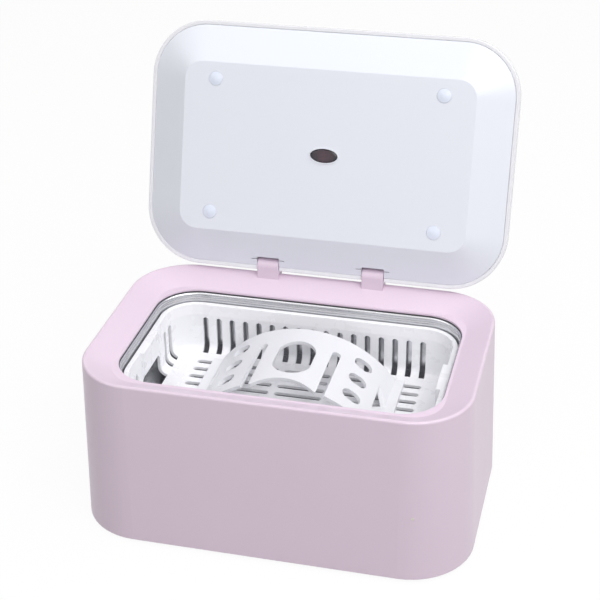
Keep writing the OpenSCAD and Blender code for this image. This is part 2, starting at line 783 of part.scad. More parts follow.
module basket() in_frame() color("#f5f6f8") {
  difference() {
    union() {
      ring(basket_w, basket_d, basket_r) polygon(basket_profile);
      slab(basket_w + 2 * (past - tub_reach), basket_d + 2 * (past - tub_reach), tub_core,
        z_floor - floor_t, floor_t);
      for (s = [0, 1]) mirror([s, 0, 0]) translate([basket_w / 2, grip_y, 0]) rotate([90, 0, 0])
        linear_extrude(grip_len - 2 * grip_edge, center = true) polygon(grip_profile);
    }
    for (k = [0:wall_slots - 1], s = [-90, 90])
      rotate([0, 0, s]) translate([0, (k - (wall_slots - 1) / 2) * wall_pitch, 0])
        wall_slot(basket_d / 2);
    for (s = [0, 180], k = [-floor_rows, 1 - floor_rows, floor_rows - 1, floor_rows])
      rotate([0, 0, s]) translate([0, k * row_pitch, 0]) wall_slot(basket_w / 2);
    for (s = [0, 1]) mirror([s, 0, 0]) grip_hole();
    floor_slots();
  }
  four(leg_x, leg_y) post(leg_d, z_tank + seat_gap, z_floor - floor_t + eps);
}

// Holder: an arch with a tongue between two slots, side holes and foot flanges
z_arch = z_floor + seat_gap;
z_axis = z_floor + arch_h - arch_r;
arch_half = sqrt(arch_r * arch_r - (z_arch - z_axis) * (z_arch - z_axis));
arch_front = arch_y - arch_d / 2;
ring_hole = [20, 31.5];
ring_shift = 1;
arch_cut = 12;
arm_angle = 19.8;
arm_slot = 4.7;
arm_reach = 13.3;
arm_end = arch_y + arm_reach;
side_angle = 35;
side_hole = [8, 11];
side_pitch = 15.2;
tongue_r = 28;
tongue_in = 5.35;
tongue_y = arch_front + tongue_in;
tongue_half = (arch_r - arch_t / 2) * sin(arm_angle) - past;
v_half = 10.4;
v_top = 8.4;
v_low = 2.4;

module arch_ray(angle) translate([0, 0, z_axis]) rotate([0, angle, 0]) children();

module pacifier_holder() in_frame() color("#ffffff") difference() {
  union() {
    intersection() {
      translate([0, arch_y, z_axis]) rotate([90, 0, 0]) difference() {
        cylinder(r = arch_r, h = arch_d, center = true);
        cylinder(r = arch_r - arch_t, h = arch_d + 2 * past, center = true);
      }
      block([-arch_r, arch_front - past, z_arch], [arch_r, arch_front + arch_d + past, z_arch + arch_r]);
    }
    for (s = [0, 1]) mirror([s, 0, 0])
      block([arch_half - arch_t, arch_front, z_arch],
        [arch_half + arch_foot, arch_front + arch_d, z_arch + arch_t]);
  }
  translate([0, arch_y - ring_shift, z_axis]) linear_extrude(2 * arch_r)
    outline(ring_hole[0], ring_hole[1], ring_hole[0] / 2 - eps);
  for (s = [-1, 1]) arch_ray(s * arm_angle)
    translate([0, (arm_end + arch_front) / 2 - arm_slot, arch_r - arch_cut / 2]) linear_extrude(arch_cut)
      outline(arm_slot, arm_end - arch_front + 2 * arm_slot, arm_slot / 2 - eps);
  for (s = [-1, 1], k = [-1:1]) arch_ray(s * side_angle)
    translate([0, arch_y + k * side_pitch, arch_r - arch_cut / 2]) linear_extrude(arch_cut)
      outline(side_hole[1], side_hole[0], side_hole[0] / 2 - eps);
  translate([0, tongue_y - tongue_r, z_axis]) intersection() {
    cylinder(r = tongue_r, h = 2 * arch_r);
    block([-tongue_half, -2 * tongue_r, 0], [tongue_half, 2 * tongue_r, 2 * arch_r]);
  }
  for (s = [0, 1]) mirror([s, 0, 0]) translate([arch_half - arch_cut, arch_y, z_floor])
    rotate([90, 0, 90]) linear_extrude(arch_cut + past)
      polygon([[-v_half, v_top], [v_half, v_top], [0, v_low]]);
}

// Lid shell, drawn closed
rim_round = 0.5;
pocket_t = 1.4;
pocket_low = 1.6;
shell_profile = rounded([
  [0, z_lid, rim_round],
  [0, z_lid + lid_h, lid_round],
  [-deck_reach, z_lid + lid_h, 0],
  [-deck_reach, z_lid + lid_h - lid_t, 0],
  [-lid_t, z_lid + lid_h - lid_t, lid_round - lid_t],
  [-lid_t, z_lid, rim_round]
], 8);
y_cheek = lid_d / 2 - notch_in - pocket_t - seat_gap;
z_ceiling = z_lid + lid_h - lid_t;
z_cup = z_plateau + cup_h;

// Side plates of a hinge pocket, with the pocket's front wall
module hinge_pocket() {
  for (s = [-1, 1]) translate([s * (notch_w / 2 + cheek_t / 2), 0, 0])
    rotate([90, 0, 90]) linear_extrude(cheek_t, center = true) polygon([
      [y_cheek, z_lid - pocket_low],
      [lid_d / 2 - 2 * lid_t, z_lid + cheek_low],
      [lid_d / 2 - lid_t / 2, z_lid + cheek_low],
      [lid_d / 2 - lid_t / 2, z_lid + lid_h - lid_round],
      [lid_d / 2 - lid_round, z_ceiling + seat_gap],
      [y_cheek, z_ceiling + seat_gap]
    ]);
  block([-notch_w / 2 - past, y_cheek, z_lid - pocket_low],
    [notch_w / 2 + past, y_cheek + pocket_t, z_ceiling + seat_gap]);
}

module lid_shell() in_frame() open_lid() color("#f7f7fa") difference() {
  union() {
    ring(lid_w, lid_d, body_r) polygon(shell_profile);
    slab(lid_w + 2 * (past - deck_reach), lid_d + 2 * (past - deck_reach), body_r - deck_reach + past,
      z_ceiling, lid_t);
    for (s = [-1, 1]) translate([s * ear_x, 0, 0]) hinge_pocket();
    translate([0, screw_y_shift, 0]) four(cap_x, cap_y) post(post_d, z_cup, z_ceiling + seat_gap);
    translate([0, magnet_y, 0]) post(magnet_d + 2 * magnet_wall, z_magnet - seat_gap, z_ceiling + seat_gap);
  }
  translate([0, magnet_y, 0]) post(bore(magnet_d), z_magnet - past, z_magnet + magnet_h);
  for (s = [-1, 1]) translate([s * ear_x, 0, 0]) {
    block([-notch_w / 2, lid_d / 2 - notch_in, z_lid - past],
      [notch_w / 2, lid_d / 2 + past, z_lid + notch_h]);
    translate([0, pin_y, pin_z]) rod(pin_d + 2 * pin_grip, notch_w + 2 * cheek_t + 2 * seat_gap);
  }
  translate([0, screw_y_shift, 0]) four(cap_x, cap_y)
    post(bore(screw_d), z_cup - past, z_cup + lid_screw);
}

// Lid liner, drawn closed: a sloping band around a raised middle
liner_lap = 3.6;
liner_reach = plateau_margin + liner_lap;
liner_profile = rounded([
  [-liner_in, z_lid, 0],
  [-liner_in, z_lid + liner_t, 0],
  [-plateau_margin, z_plateau + liner_t, 2.5],
  [-liner_reach, z_plateau + liner_t, 0],
  [-liner_reach, z_plateau, 0],
  [-plateau_margin, z_plateau, 1.5]
], 3);
cup_d = 11.5;
lens_t = 1.8;
lens_lip = 0.8;
lens_edge = 1.2;
magnet_d = 6;
magnet_h = 3;
magnet_wall = 1.5;
magnet_in = 9;
magnet_y = magnet_in - lid_d / 2;
lens_wall = 1.5;
bead_h = 0.4;
stud_out = [3.8, 2.7];
stud_x = window_w / 2 + lens_edge + stud_out[0];
stud_y = window_h / 2 + lens_edge + stud_out[1];
stud_post = 3.6;
stud_d = 1.8;
stud_deep = 2.8;
stud_head = 3.4;
sensor_peg = 9;
sensor_in = 6.2;
sensor_boss = 4;
sensor_size = [24, 5.2];
reed_d = 2.2;
reed_w = 11;
reed_half = 0.55;
y_sensor = body_d / 2 - sensor_in;
sensor_drop = 5.4;
z_sensor = deck_under(sensor_in) - sensor_drop;

// An oval prism
oval_step = 7.5;
module oval(w, h, z1, z2) translate([0, 0, z1]) linear_extrude(z2 - z1)
  polygon([for (a = [0:oval_step:360 - oval_step]) [w / 2 * cos(a), h / 2 * sin(a)]]);

module lid_liner() in_frame() open_lid() color("#e9ebf2") difference() {
  union() {
    ring(lid_w, lid_d, body_r) polygon(liner_profile);
    slab(lid_w + 2 * (past - liner_reach), lid_d + 2 * (past - liner_reach), body_r - liner_reach + past,
      z_plateau, liner_t);
    translate([0, screw_y_shift, 0]) four(cap_x, cap_y) post(cup_d, z_plateau, z_cup);
    oval(window_w + 2 * lens_edge + 2 * lens_wall, window_h + 2 * lens_edge + 2 * lens_wall,
      z_plateau, z_plateau + lens_lip + lens_t);
    oval(window_w + lens_edge, window_h + lens_edge, z_plateau - bead_h, z_plateau + eps);
    four(stud_x, stud_y) post(stud_post, z_plateau, z_uv);
  }
  translate([0, screw_y_shift, 0]) four(cap_x, cap_y) {
    post(screw_d + 2 * fit_gap, z_plateau - past, z_cup + past);
    post(head_d + 2 * fit_gap, z_plateau - past, z_head);
    post(bore(cap_d), z_plateau - past, z_cap);
  }
  oval(window_w, window_h, z_plateau - past, z_uv);
  oval(bore(window_w + 2 * lens_edge), bore(window_h + 2 * lens_edge), z_plateau + lens_lip, z_uv);
  four(stud_x, stud_y) post(bore(stud_d), z_uv - stud_deep - seat_gap, z_uv + past);
  for (s = [-1, 1]) translate([s * ear_x, 0, 0]) {
    relief_x = notch_w / 2 + cheek_t + liner_gap;
    relief_y = y_cheek - liner_gap;
    block([-notch_w / 2, lid_d / 2 - notch_in, z_plateau], [notch_w / 2, lid_d / 2, z_lid + notch_h]);
    block([-relief_x, relief_y, z_lid + relief_z], [relief_x, lid_d / 2, z_lid + notch_h]);
    block([-relief_x, relief_y, z_lid - pocket_low - notch_side],
      [relief_x, lid_d / 2 - 2 * lid_t - pocket_low, z_lid + notch_h]);
  }
}
cup_floor = 1.5;
z_head = z_cup - cup_floor;
lid_screw = 9;
cap_deep = 2.2;
z_cap = z_plateau + cap_deep;
uv_up = 4.6;
z_uv = z_plateau + liner_t + uv_up;
uv_t = 1.2;
uv_edge = 3;
led_w = 3.5;
led_h = 1.6;
led_share = 0.3125;
led_pitch = window_w * led_share;
z_magnet = z_lid + liner_t + seat_gap;

module lid_screws() in_frame() open_lid() color("silver")
  translate([0, screw_y_shift, 0]) four(cap_x, cap_y) translate([0, 0, z_head])
    screw(lid_screw + bite);

// Domed caps pressed in over the lid screws
cap_rise = 0.8;
cap_dome = (cap_d * cap_d / 4 + cap_rise * cap_rise) / (2 * cap_rise);
module screw_caps() in_frame() open_lid() color("#eef0f6")
  translate([0, screw_y_shift, 0]) four(cap_x, cap_y) {
    post(cap_d, z_plateau, z_cap - screw_gap);
    intersection() {
      post(cap_d, z_plateau - 2 * cap_rise, z_plateau + eps);
      translate([0, 0, z_plateau - cap_rise + cap_dome]) sphere(cap_dome);
    }
  }

module window_lens() in_frame() open_lid() color("#3b2f35")
  oval(window_w + 2 * lens_edge, window_h + 2 * lens_edge,
    z_plateau + lens_lip, z_plateau + lens_lip + lens_t);

// Lamp board on four pegs behind the window
module uv_board() in_frame() open_lid() color("#e8e8ea") difference() {
  slab(2 * (stud_x + uv_edge), 2 * (stud_y + uv_edge), board_r, z_uv, uv_t);
  four(stud_x, stud_y) post(bore(stud_d), z_uv - past, z_uv + uv_t + past);
}

module uv_leds() in_frame() open_lid() color("#e6d98a")
  for (k = [-1:1]) translate([k * led_pitch, 0, z_uv - led_h])
    block([-led_w / 2, -led_w / 2, 0], [led_w / 2, led_w / 2, led_h]);

module board_pegs() in_frame() open_lid() color("silver") four(stud_x, stud_y) {
  post(stud_head, z_uv + uv_t, z_uv + 2 * uv_t);
  post(stud_d, z_uv - stud_deep, z_uv + uv_t + eps);
}

module lid_magnet() in_frame() open_lid() color("#8d9096")
  translate([0, magnet_y, 0]) post(magnet_d, z_magnet, z_magnet + magnet_h);

// A sealed reed sensor under the deck, below the magnet of the closed lid
module lid_sensor() in_frame() color("#3f7a55") translate([0, -y_sensor, z_sensor]) {
  block([-sensor_size[0] / 2, -sensor_size[1] / 2, -board_t], [sensor_size[0] / 2, sensor_size[1] / 2, 0]);
  translate([0, 0, reed_d / 2]) rod(reed_d, reed_w);
  block([past - reed_w / 2, -reed_half, -eps], [reed_w / 2 - past, reed_half, reed_d / 2]);
}

module hinge_pins() in_frame() color("silver")
  for (s = [-1, 1]) translate([s * ear_x, pin_y, pin_z]) rod(pin_d, notch_w + 2 * cheek_t);

housing();
base_plate();
rubber_feet();
base_screws();
tank();
tank_seal();
tank_clamps();
clamp_screws();
coupling_plate();
piezo_disc();
driver_board();
board_screws();
transformer();
heat_sink();
power_transistors();
capacitors();
power_inlet();
inlet_pins();
power_button();
mode_button();
control_board();
button_switches();
control_screws();
indicator_lens();
indicator_board();
basket();
pacifier_holder();
lid_shell();
lid_liner();
lid_screws();
screw_caps();
window_lens();
uv_board();
uv_leds();
board_pegs();
lid_magnet();
lid_sensor();
hinge_pins();
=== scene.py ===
# %% [markdown]
# # A pacifier steriliser case
# The real object is a small countertop bath: a pink moulded body with a dished deck, a steel tank
# under it, a white slotted basket with an arched holder, and a white lid that stands open.
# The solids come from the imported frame. This lesson gives them their finishes, and works out with
# numpy the pieces whose shape a plain solid simplifies, such as the drawn tank and the domed caps.

import json
import math

import bmesh
import bpy
import numpy as np
from mathutils import Matrix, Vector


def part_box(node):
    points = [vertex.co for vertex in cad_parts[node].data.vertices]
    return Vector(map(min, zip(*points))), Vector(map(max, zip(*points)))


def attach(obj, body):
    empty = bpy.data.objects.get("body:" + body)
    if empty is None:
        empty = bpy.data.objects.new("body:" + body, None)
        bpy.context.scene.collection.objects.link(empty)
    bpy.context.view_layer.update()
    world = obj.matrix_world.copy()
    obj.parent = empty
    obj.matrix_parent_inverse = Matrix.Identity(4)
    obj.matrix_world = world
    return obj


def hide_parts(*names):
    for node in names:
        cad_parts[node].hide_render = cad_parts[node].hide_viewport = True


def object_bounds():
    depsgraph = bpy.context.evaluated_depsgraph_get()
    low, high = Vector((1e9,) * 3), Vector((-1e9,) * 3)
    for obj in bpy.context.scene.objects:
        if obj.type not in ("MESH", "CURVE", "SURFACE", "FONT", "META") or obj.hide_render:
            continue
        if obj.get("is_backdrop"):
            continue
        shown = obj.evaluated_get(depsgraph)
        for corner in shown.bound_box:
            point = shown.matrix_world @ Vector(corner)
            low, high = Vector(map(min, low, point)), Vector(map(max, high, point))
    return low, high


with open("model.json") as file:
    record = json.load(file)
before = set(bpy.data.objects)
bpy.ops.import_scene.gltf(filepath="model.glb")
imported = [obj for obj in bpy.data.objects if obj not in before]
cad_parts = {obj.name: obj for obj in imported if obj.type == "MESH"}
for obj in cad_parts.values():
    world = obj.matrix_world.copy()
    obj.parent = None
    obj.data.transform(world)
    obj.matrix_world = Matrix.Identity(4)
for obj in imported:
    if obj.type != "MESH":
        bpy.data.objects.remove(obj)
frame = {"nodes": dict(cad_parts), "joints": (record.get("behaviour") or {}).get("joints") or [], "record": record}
nodes = frame["nodes"]
cad_box = [[float(x) for x in corner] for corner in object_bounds()]
MM = 0.001


def box_mm(node):
    """The low and the high corner of a solid's box, in millimetres."""
    return (np.array(corner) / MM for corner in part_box(node))


print("solids:", len(nodes), "box in mm:", np.round(np.array(cad_box) / MM, 1).tolist())

# %% [markdown]
# ## The camera
# The photograph looks down on the case from the front and a little from the right. The direction,
# the distance and the lens were fitted to the outlines of the body, the lid, the basket and the
# slots, so the camera is placed by angles about a point, which are easy to read and to change.

# %% Place the camera
TARGET = np.array([4.4, -22.1, 115.3]) * MM
AZIMUTH, ELEVATION, ROLL = (math.radians(a) for a in (14.53, 29.28, -0.97))
DISTANCE = 744.7 * MM
FOCAL_PIXELS, IMAGE_PIXELS, SENSOR = 1465.0, 600.0, 36.0

back = np.array([
    math.sin(AZIMUTH) * math.cos(ELEVATION),
    -math.cos(AZIMUTH) * math.cos(ELEVATION),
    math.sin(ELEVATION),
])
level = np.array([math.cos(AZIMUTH), math.sin(AZIMUTH), 0.0])
above = np.cross(back, level)
right = level * math.cos(ROLL) + above * math.sin(ROLL)
up = above * math.cos(ROLL) - level * math.sin(ROLL)

camera = bpy.data.objects.new("camera", bpy.data.cameras.new("camera"))
camera.data.lens = SENSOR * FOCAL_PIXELS / IMAGE_PIXELS
camera.data.sensor_width = SENSOR
camera.data.clip_end = 20  # metres, well past the floor's far edge
place = np.eye(4)
place[:3, :3] = np.column_stack([right, up, back])
place[:3, 3] = TARGET + back * DISTANCE
camera.matrix_world = Matrix(place.tolist())
bpy.context.scene.collection.objects.link(camera)
bpy.context.scene.camera = camera
print("camera at mm:", np.round(place[:3, 3] / MM, 1), "lens:", round(camera.data.lens, 1))

# %% [markdown]
# ## Colours and nodes
# A colour is easiest to choose as a hex value in sRGB, but a shader works in linear light. One
# function turns the first into the second. Another adds a node with its settings and its links.


# %% Helpers for materials
def linear(hex_value):
    """Channel c becomes c / 12.92 near black, and ((c + 0.055) / 1.055) to the 2.4 elsewhere."""
    c = np.array([int(hex_value[i : i + 2], 16) for i in (0, 2, 4)]) / 255
    c = np.where(c <= 0.04045, c / 12.92, ((c + 0.055) / 1.055) ** 2.4)
    return (*c.tolist(), 1.0)


def add(tree, kind, inputs=None, **settings):
    """Adds a node. An input is a value, or an output of another node, which is then linked.

    Sockets go by name, or by number where names repeat: a colour mix has its factor at 0,
    its colours at 6 and 7, and its result at 2.
    """
    node = tree.nodes.new(kind)
    for name, value in settings.items():
        setattr(node, name, value)
    for name, value in (inputs or {}).items():
        if isinstance(value, bpy.types.NodeSocket):
            tree.links.new(value, node.inputs[name])
        else:
            node.inputs[name].default_value = value
    return node


def new_material(name):
    """An empty material, with its tree and the object's own coordinates in metres."""
    material = bpy.data.materials.new(name)
    material.use_nodes = True
    tree = material.node_tree
    tree.nodes.clear()
    return material, tree, add(tree, "ShaderNodeTexCoord").outputs["Object"]


print("d9c3d6 in linear light:", np.round(linear("d9c3d6"), 3))

# %% [markdown]
# ## Moulded plastics
# Most of the case is injection-moulded ABS or polypropylene. A mould leaves a fine, even grain on
# a satin face and almost none on a glossy one, and the colour drifts by a hair where the melt
# flowed. So one recipe makes every moulded finish: a slow noise for the drift, a second for the
# sheen, and a fine one for the grain, whose size is given in millimetres. A bevel in the normal
# softens each edge, because no mould has a truly sharp one.


# %% The moulded finish
DRIFT_MM, SHEEN_MM, EDGE_MM, SHEEN_RANGE = 40, 9, 0.3, 0.02


def moulded(name, shade, drift, roughness, grain_mm, grain_depth_mm, coat=0.0):
    """Colour = shade mixed with drift by a 40 mm noise. Height = depth times a grain-size noise."""
    material, tree, place = new_material(name)
    cloud = add(tree, "ShaderNodeTexNoise", {
        "Vector": place, "Scale": 1 / (DRIFT_MM * MM), "Detail": 3.0})
    tint = add(tree, "ShaderNodeMix", {
        0: cloud.outputs["Fac"], 6: linear(shade), 7: linear(drift)}, data_type="RGBA")
    sheen = add(tree, "ShaderNodeTexNoise", {
        "Vector": place, "Scale": 1 / (SHEEN_MM * MM), "Detail": 4.0})
    rough = add(tree, "ShaderNodeMapRange", {
        "Value": sheen.outputs["Fac"], "From Min": 0.3, "From Max": 0.7,
        "To Min": roughness - SHEEN_RANGE, "To Max": roughness + SHEEN_RANGE})
    grain = add(tree, "ShaderNodeTexNoise", {
        "Vector": place, "Scale": 1 / (grain_mm * MM), "Detail": 2.0, "Roughness": 0.6})
    soft = add(tree, "ShaderNodeBevel", {"Radius": EDGE_MM * MM}, samples=4)
    bump = add(tree, "ShaderNodeBump", {
        "Strength": 1.0, "Distance": grain_depth_mm * MM, "Height": grain.outputs["Fac"],
        "Normal": soft.outputs["Normal"]})
    shader = add(tree, "ShaderNodeBsdfPrincipled", {
        "Base Color": tint.outputs[2], "Roughness": rough.outputs["Result"],
        "IOR": 1.5, "Coat Weight": coat, "Coat Roughness": 0.12, "Normal": bump.outputs["Normal"]})
    add(tree, "ShaderNodeOutputMaterial", {"Surface": shader.outputs["BSDF"]})
    return material


# %% Moulded finishes of the case
# each row: material, its two shades, roughness, then the grain's size and depth in millimetres
finishes = {
    # satin ABS, spark-eroded mould: a soft broad highlight and a grain too fine to show singly
    "housing_plastic": moulded("satin_abs_pink", "E8D5E5", "E5D1E2", 0.4, 0.7, 0.004, coat=0.15),
    # the closing plate is coarser, for it is never seen in use
    "base_plastic": moulded("textured_abs_pink", "D0BCCE", "CCB7CA", 0.55, 0.9, 0.02),
    # polished mould: the lid and its liner are smoother, with a soft highlight
    "lid_plastic": moulded("gloss_abs_white", "F0F0F4", "EEEEF3", 0.26, 1.6, 0.0006, coat=0.3),
    "liner_plastic": moulded(
        "gloss_abs_cool_white", "ECEFF7", "EAEDF6", 0.3, 1.6, 0.0006, coat=0.2),
    # polypropylene: milky, a little waxy
    "basket_plastic": moulded(
        "moulded_polypropylene", "F7F7FA", "F5F5F9", 0.28, 1.8, 0.001, coat=0.1),
    "holder_plastic": moulded(
        "moulded_polypropylene_bright", "EBEBEF", "E9E9EE", 0.3, 1.8, 0.001),
    # the small mouldings
    "cap_plastic": moulded("gloss_abs_cap", "EAF0FF", "E7EDFC", 0.32, 1.6, 0.0006, coat=0.1),
    "button_plastic": moulded("gloss_abs_button", "F1E7F0", "EEE3ED", 0.3, 1.2, 0.002, coat=0.2),
    "switch_plastic": moulded("glass_filled_nylon", "3A3A3D", "343437", 0.5, 0.6, 0.02),
    "inlet_plastic": moulded("glass_filled_nylon_black", "29292B", "242426", 0.48, 0.6, 0.02),
    "device_epoxy": moulded("moulded_epoxy", "2B2B2E", "262629", 0.55, 0.5, 0.02),
    "transformer_coil": moulded("taped_winding", "C9A24A", "BE9640", 0.4, 1.0, 0.03),
    "capacitor_sleeve": moulded("shrunk_sleeve", "343A52", "2E344A", 0.3, 1.5, 0.004),
    "lens_plastic": moulded("light_pipe_acrylic", "F3EFE4", "EFEADD", 0.12, 1.5, 0.001),
    "led_phosphor": moulded("lamp_package", "C98A62", "B9774F", 0.35, 0.5, 0.01),
}
print("moulded finishes:", len(finishes))

# %% [markdown]
# ## Rubber and silicone
# Rubber scatters light almost evenly and holds dust, so it is rough, a little uneven in colour and
# has no clear highlight. Silicone is smoother, with a faint bloom.


# %% Rubber finishes
PATCH_MM, RUBBER_GRAIN_DEPTH_MM, MOST_DUST = 3, 0.03, 0.6


def rubbery(name, shade, dust, roughness, grain_mm):
    """Colour = shade, with dust where a 3 mm noise is high. Height = 0.03 mm times the grain."""
    material, tree, place = new_material(name)
    patch = add(tree, "ShaderNodeTexNoise", {
        "Vector": place, "Scale": 1 / (PATCH_MM * MM), "Detail": 5.0})
    lift = add(tree, "ShaderNodeMapRange", {
        "Value": patch.outputs["Fac"], "From Min": 0.5, "From Max": 0.75, "To Max": MOST_DUST})
    tint = add(tree, "ShaderNodeMix", {
        0: lift.outputs["Result"], 6: linear(shade), 7: linear(dust)}, data_type="RGBA")
    grain = add(tree, "ShaderNodeTexNoise", {
        "Vector": place, "Scale": 1 / (grain_mm * MM), "Detail": 3.0})
    bump = add(tree, "ShaderNodeBump", {
        "Distance": RUBBER_GRAIN_DEPTH_MM * MM, "Height": grain.outputs["Fac"]})
    shader = add(tree, "ShaderNodeBsdfPrincipled", {
        "Base Color": tint.outputs[2], "Roughness": roughness, "IOR": 1.42,
        "Normal": bump.outputs["Normal"]})
    add(tree, "ShaderNodeOutputMaterial", {"Surface": shader.outputs["BSDF"]})
    return material


# the seal's dark grey is partly its own colour and partly painted shade of the gap under the deck's lip
finishes["seal_rubber"] = rubbery("moulded_silicone", "3F3C41", "57535A", 0.5, 0.8)
finishes["foot_rubber"] = rubbery("moulded_rubber", "7F7A80", "98939A", 0.78, 0.5)
print("rubber finishes: 2")

# %% [markdown]
# ## Metals
# The tank is deep-drawn stainless steel, polished with a mop that runs round it, which leaves long
# faint lines that lie level. The fasteners are zinc-plated steel with a mottled grey. Both are the
# same recipe with another stretch: a noise that is long along the lines and short across them.


# %% Metal finishes
STAIN_MM, LINE_SPREAD = 14, 0.3


def metal(name, shade, stain, roughness, line_mm, stretch, depth_mm):
    """Lines = a noise whose place is divided by stretch along X and Y.

    They set the height, and a roughness of 0.7 to 1.3 times the one given.
    """
    material, tree, place = new_material(name)
    run = add(tree, "ShaderNodeMapping", {
        "Vector": place, "Scale": (1 / stretch, 1 / stretch, 1.0)})
    lines = add(tree, "ShaderNodeTexNoise", {
        "Vector": run.outputs["Vector"], "Scale": 1 / (line_mm * MM), "Detail": 4.0,
        "Roughness": 0.7})
    cloud = add(tree, "ShaderNodeTexNoise", {
        "Vector": place, "Scale": 1 / (STAIN_MM * MM), "Detail": 4.0})
    tint = add(tree, "ShaderNodeMix", {
        0: cloud.outputs["Fac"], 6: linear(shade), 7: linear(stain)}, data_type="RGBA")
    rough = add(tree, "ShaderNodeMapRange", {
        "Value": lines.outputs["Fac"], "From Min": 0.3, "From Max": 0.7,
        "To Min": roughness * (1 - LINE_SPREAD), "To Max": roughness * (1 + LINE_SPREAD)})
    bump = add(tree, "ShaderNodeBump", {"Distance": depth_mm * MM, "Height": lines.outputs["Fac"]})
    shader = add(tree, "ShaderNodeBsdfPrincipled", {
        "Base Color": tint.outputs[2], "Metallic": 1.0, "Roughness": rough.outputs["Result"],
        "Normal": bump.outputs["Normal"]})
    add(tree, "ShaderNodeOutputMaterial", {"Surface": shader.outputs["BSDF"]})
    return material


# each row: material, its two shades, roughness, the lines' width in millimetres, how many times
# longer they are than wide, and their depth in millimetres
metals = {
    "tank_steel": metal(
        "polished_stainless_steel", "D4D4D7", "CACBCE", 0.22, 0.5, 30, 0.0006),
    "zinc_steel": metal("zinc_plated_steel", "BFC1C4", "A5A8AD", 0.34, 1.2, 1, 0.004),
    "pin_steel": metal("turned_stainless_steel", "C8C9CC", "BEBFC3", 0.22, 0.3, 6, 0.002),
    "coupling_metal": metal("machined_aluminium", "C0C2C6", "B3B6BB", 0.3, 0.4, 8, 0.002),
    "heat_sink_metal": metal("extruded_aluminium", "A9ACB1", "9DA1A7", 0.38, 0.4, 1, 0.003),
    "pin_brass": metal("plated_brass", "CDB371", "BFA35C", 0.25, 0.6, 4, 0.002),
    "magnet_metal": metal("nickel_plate", "9FA2A8", "92959B", 0.2, 0.8, 1, 0.001),
}
finishes.update(metals)
print("metal finishes:", len(metals))

# %% [markdown]
# ## Boards and ceramic
# A circuit board is glass fibre under a coloured varnish: flat and glossy, with the weave of the
# cloth just showing as a grid about 0.6 mm wide. The piezo disc is fired ceramic, matte and pale.


# %% Board and ceramic finishes
THREAD_MM, MOST_WEAVE = 0.6, 0.35


def board(name, shade, thread, roughness):
    """Weave = sine of x times sine of y, 0.6 mm a thread, mixed into the varnish's colour."""
    material, tree, place = new_material(name)
    axes = add(tree, "ShaderNodeSeparateXYZ", {"Vector": place})
    waves = [
        add(tree, "ShaderNodeMath", {
            0: axes.outputs[axis], 1: 2 * math.pi / (THREAD_MM * MM)}, operation="MULTIPLY")
        for axis in ("X", "Y")
    ]
    sines = [add(tree, "ShaderNodeMath", {0: w.outputs[0]}, operation="SINE") for w in waves]
    weave = add(tree, "ShaderNodeMath", {
        0: sines[0].outputs[0], 1: sines[1].outputs[0]}, operation="MULTIPLY")
    part = add(tree, "ShaderNodeMapRange", {
        "Value": weave.outputs[0], "From Min": -1.0, "From Max": 1.0, "To Max": MOST_WEAVE})
    tint = add(tree, "ShaderNodeMix", {
        0: part.outputs["Result"], 6: linear(shade), 7: linear(thread)}, data_type="RGBA")
    shader = add(tree, "ShaderNodeBsdfPrincipled", {
        "Base Color": tint.outputs[2], "Roughness": roughness, "Coat Weight": 0.4,
        "Coat Roughness": 0.15})
    add(tree, "ShaderNodeOutputMaterial", {"Surface": shader.outputs["BSDF"]})
    return material


finishes["board_laminate"] = board("varnished_glass_fibre", "2F6B47", "4D8A62", 0.35)
finishes["lamp_board_laminate"] = board("white_varnished_glass_fibre", "E2E2E0", "D2D2CE", 0.4)
finishes["piezo_ceramic"] = rubbery("fired_piezo_ceramic", "D9D4C0", "C9C2AA", 0.6, 0.4)
print("board and ceramic finishes: 3")

# %% [markdown]
# ## The lamp window
# The window in the lid is smoked quartz, nearly black. Behind its middle the lamps show faintly as
# a dull red, so the tint is warmer there. Real glass would need light behind it to show this, so
# the tint is part of the colour, by distance from the window's own centre.

# %% The smoked window
WARM_NEAR_MM, WARM_FAR_MM, WISP_MM = 1.5, 6.5, 1.6
low, high = (np.array(corner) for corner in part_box("window_lens"))
window_centre = (low + high) / 2
material, tree, place = new_material("smoked_quartz")
from_centre = add(tree, "ShaderNodeVectorMath", {
    0: place, 1: tuple(window_centre.tolist())}, operation="DISTANCE")
wisps = add(tree, "ShaderNodeTexNoise", {
    "Vector": place, "Scale": 1 / (WISP_MM * MM), "Detail": 2.0})
spread = add(tree, "ShaderNodeMapRange", {
    "Value": from_centre.outputs["Value"],
    "From Min": WARM_NEAR_MM * MM, "From Max": WARM_FAR_MM * MM, "To Min": 1.0, "To Max": 0.0})
warm = add(tree, "ShaderNodeMath", {
    0: spread.outputs["Result"], 1: wisps.outputs["Fac"]}, operation="MULTIPLY")
tint = add(tree, "ShaderNodeMix", {
    0: warm.outputs[0], 6: linear("25222A"), 7: linear("5E3A48")}, data_type="RGBA")
shader = add(tree, "ShaderNodeBsdfPrincipled", {
    "Base Color": tint.outputs[2], "Roughness": 0.08, "IOR": 1.46, "Coat Weight": 0.5,
    "Coat Roughness": 0.04})
add(tree, "ShaderNodeOutputMaterial", {"Surface": shader.outputs["BSDF"]})
finishes["window_quartz"] = material
print("window centre in mm:", np.round(window_centre / MM, 1))

# %% [markdown]
# ## Finishes on the solids
# The record says which finish each solid takes, so the assignment is one loop over its list.

# %% Give each solid its finish
for part in frame["record"]["subparts"]:
    solid = nodes[part["node"]]
    solid.data.materials.clear()
    solid.data.materials.append(finishes[part["material_slot"]])

# %% [markdown]
# ## Surfaces from rows of points
# Every new piece here is a stack of closed outlines, made wider or narrower as it climbs a
# profile. A rounded rectangle and a circle are one formula, because a circle is a rounded rectangle
# with no sides left. Lengths are in millimetres until the mesh is made.


